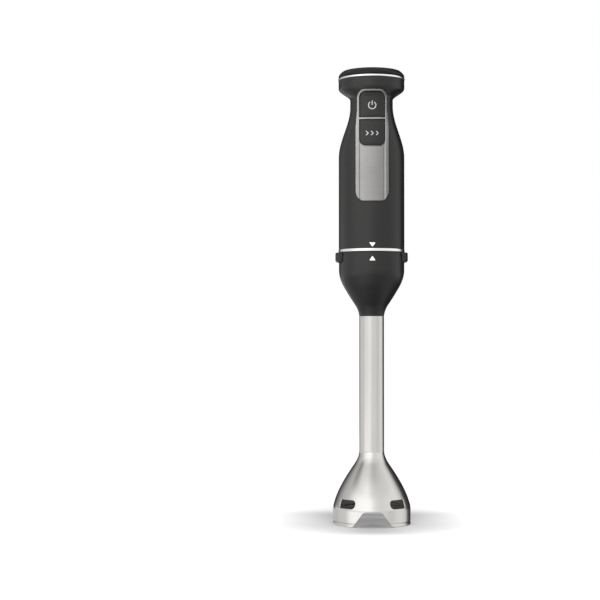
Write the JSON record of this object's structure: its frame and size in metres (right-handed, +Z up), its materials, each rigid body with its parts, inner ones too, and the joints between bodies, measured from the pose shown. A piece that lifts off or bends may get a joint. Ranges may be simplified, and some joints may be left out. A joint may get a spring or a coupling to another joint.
{
  "type": "immersion blender",
  "caption": "Hand-held immersion blender: a motor handle with a control panel and a top speed dial, on a detachable steel arm with a guarded blade.",
  "frame": {"origin": "centre of the blade guard's rim, on the surface that the blender stands on", "axes": "+Z up along the drive shaft, -Y towards the control panel, +Y towards the cord inlet"},
  "size_m": [0.068, 0.068, 0.398],
  "materials": {
    "guard_steel": "polished stainless steel with fine vertical polish lines",
    "tube_steel": "polished stainless steel",
    "hub_plastic": "dark food-safe plastic",
    "bronze": "sintered bronze",
    "seal_rubber": "silicone rubber",
    "nylon": "natural nylon",
    "soft_black": "charcoal soft-touch plastic",
    "spring_steel": "bare spring steel",
    "inner_black": "black moulded plastic",
    "shaft_steel": "ground steel",
    "coupling_black": "glass-filled nylon",
    "blade_steel": "hardened stainless steel with ground edges",
    "trim_chrome": "bright satin chrome",
    "panel_silver": "satin silver with a fine brushed grain",
    "board_green": "solder-masked circuit board",
    "switch_black": "black switch body",
    "button_black": "charcoal rubberised plastic",
    "component_brown": "moulded capacitors and coils",
    "sensor_blue": "blue potentiometer body",
    "dial_black": "charcoal soft-touch plastic",
    "gland_rubber": "black rubber",
    "screw_steel": "zinc-plated steel",
    "lamination": "varnished steel laminations",
    "copper": "enamelled copper wire",
    "bracket_plastic": "pale glass-filled plastic",
    "holder_brass": "stamped brass",
    "carbon": "graphite",
    "damper_rubber": "black rubber",
    "commutator_copper": "turned copper",
    "fan_grey": "grey moulded plastic",
    "coupling_white": "white acetal"
  },
  "bodies": {
    "arm": {"bell_guard": "guard_steel", "arm_tube": "tube_steel", "bearing_housing": "hub_plastic", "lower_bush": "bronze", "shaft_seal": "seal_rubber", "shaft_guide": "nylon", "arm_housing": "soft_black", "upper_bush": "bronze", "latch_ring": "spring_steel", "latch_cover": "inner_black"},
    "blade_drive": {"drive_shaft": "shaft_steel", "shaft_coupling": "coupling_black", "retaining_clip": "spring_steel", "blade": "blade_steel", "blade_nut": "blade_steel"},
    "release_left": {"release_button_left": "soft_black"},
    "release_right": {"release_button_right": "soft_black"},
    "rotor": {"motor_shaft": "shaft_steel", "armature_core": "lamination", "armature_windings": "copper", "commutator": "commutator_copper", "cooling_fan": "fan_grey", "motor_coupling": "coupling_white"},
    "dial": {"speed_dial": "dial_black", "dial_spindle": "shaft_steel"},
    "power": {"power_button": "button_black", "power_plunger": "nylon"},
    "turbo": {"turbo_button": "button_black", "turbo_plunger": "nylon"},
    "handle": {"front_shell": "soft_black", "rear_shell": "soft_black", "lower_trim_ring": "trim_chrome", "head_trim_ring": "trim_chrome", "coupling_spigot": "inner_black", "control_panel": "panel_silver", "control_carrier": "nylon", "button_board": "board_green", "power_switch": "switch_black", "turbo_switch": "switch_black", "speed_board": "board_green", "board_components": "component_brown", "head_cap": "inner_black", "speed_sensor": "sensor_blue", "cord_gland": "gland_rubber", "housing_screws": "screw_steel", "stator_core": "lamination", "field_coils": "copper", "upper_bracket": "bracket_plastic", "lower_bracket": "bracket_plastic", "upper_bearing": "shaft_steel", "lower_bearing": "shaft_steel", "brush_holders": "holder_brass", "carbon_brushes": "carbon", "brush_springs": "spring_steel", "motor_screws": "screw_steel", "upper_damper": "damper_rubber", "lower_damper": "damper_rubber"}
  },
  "joints": [
    {"name": "blade_spin", "type": "hinge", "parent": "arm", "child": "blade_drive", "pos_m": [0, 0, 0.018], "axis": [0, 0, 1], "continuous": true},
    {"name": "release_left", "type": "slide", "parent": "arm", "child": "release_left", "axis": [1, 0, 0], "range_m": [0, 0.0023], "stiffness_N_per_m": 900, "springref_m": -0.0015, "deforming": ["latch_ring"]},
    {"name": "release_right", "type": "slide", "parent": "arm", "child": "release_right", "axis": [-1, 0, 0], "range_m": [0, 0.0023], "stiffness_N_per_m": 900, "springref_m": -0.0015},
    {"name": "handle_lift", "type": "slide", "parent": "arm", "child": "handle", "axis": [0, 0, 1], "range_m": [0, 0.05]},
    {"name": "motor_spin", "type": "hinge", "parent": "handle", "child": "rotor", "pos_m": [0, 0, 0.293], "axis": [0, 0, 1], "continuous": true},
    {"name": "speed_turn", "type": "hinge", "parent": "handle", "child": "dial", "pos_m": [0, 0, 0.392], "axis": [0, 0, 1], "range_deg": [0, 240]},
    {"name": "power_press", "type": "slide", "parent": "handle", "child": "power", "axis": [0, 1, 0], "range_m": [0, 0.001], "stiffness_N_per_m": 800, "springref_m": -0.0005},
    {"name": "turbo_press", "type": "slide", "parent": "handle", "child": "turbo", "axis": [0, 1, 0], "range_m": [0, 0.001], "stiffness_N_per_m": 800, "springref_m": -0.0005}
  ],
  "couplings": [
    {"joint": "blade_spin", "follows": "motor_spin", "ratio": 1}
  ]
}
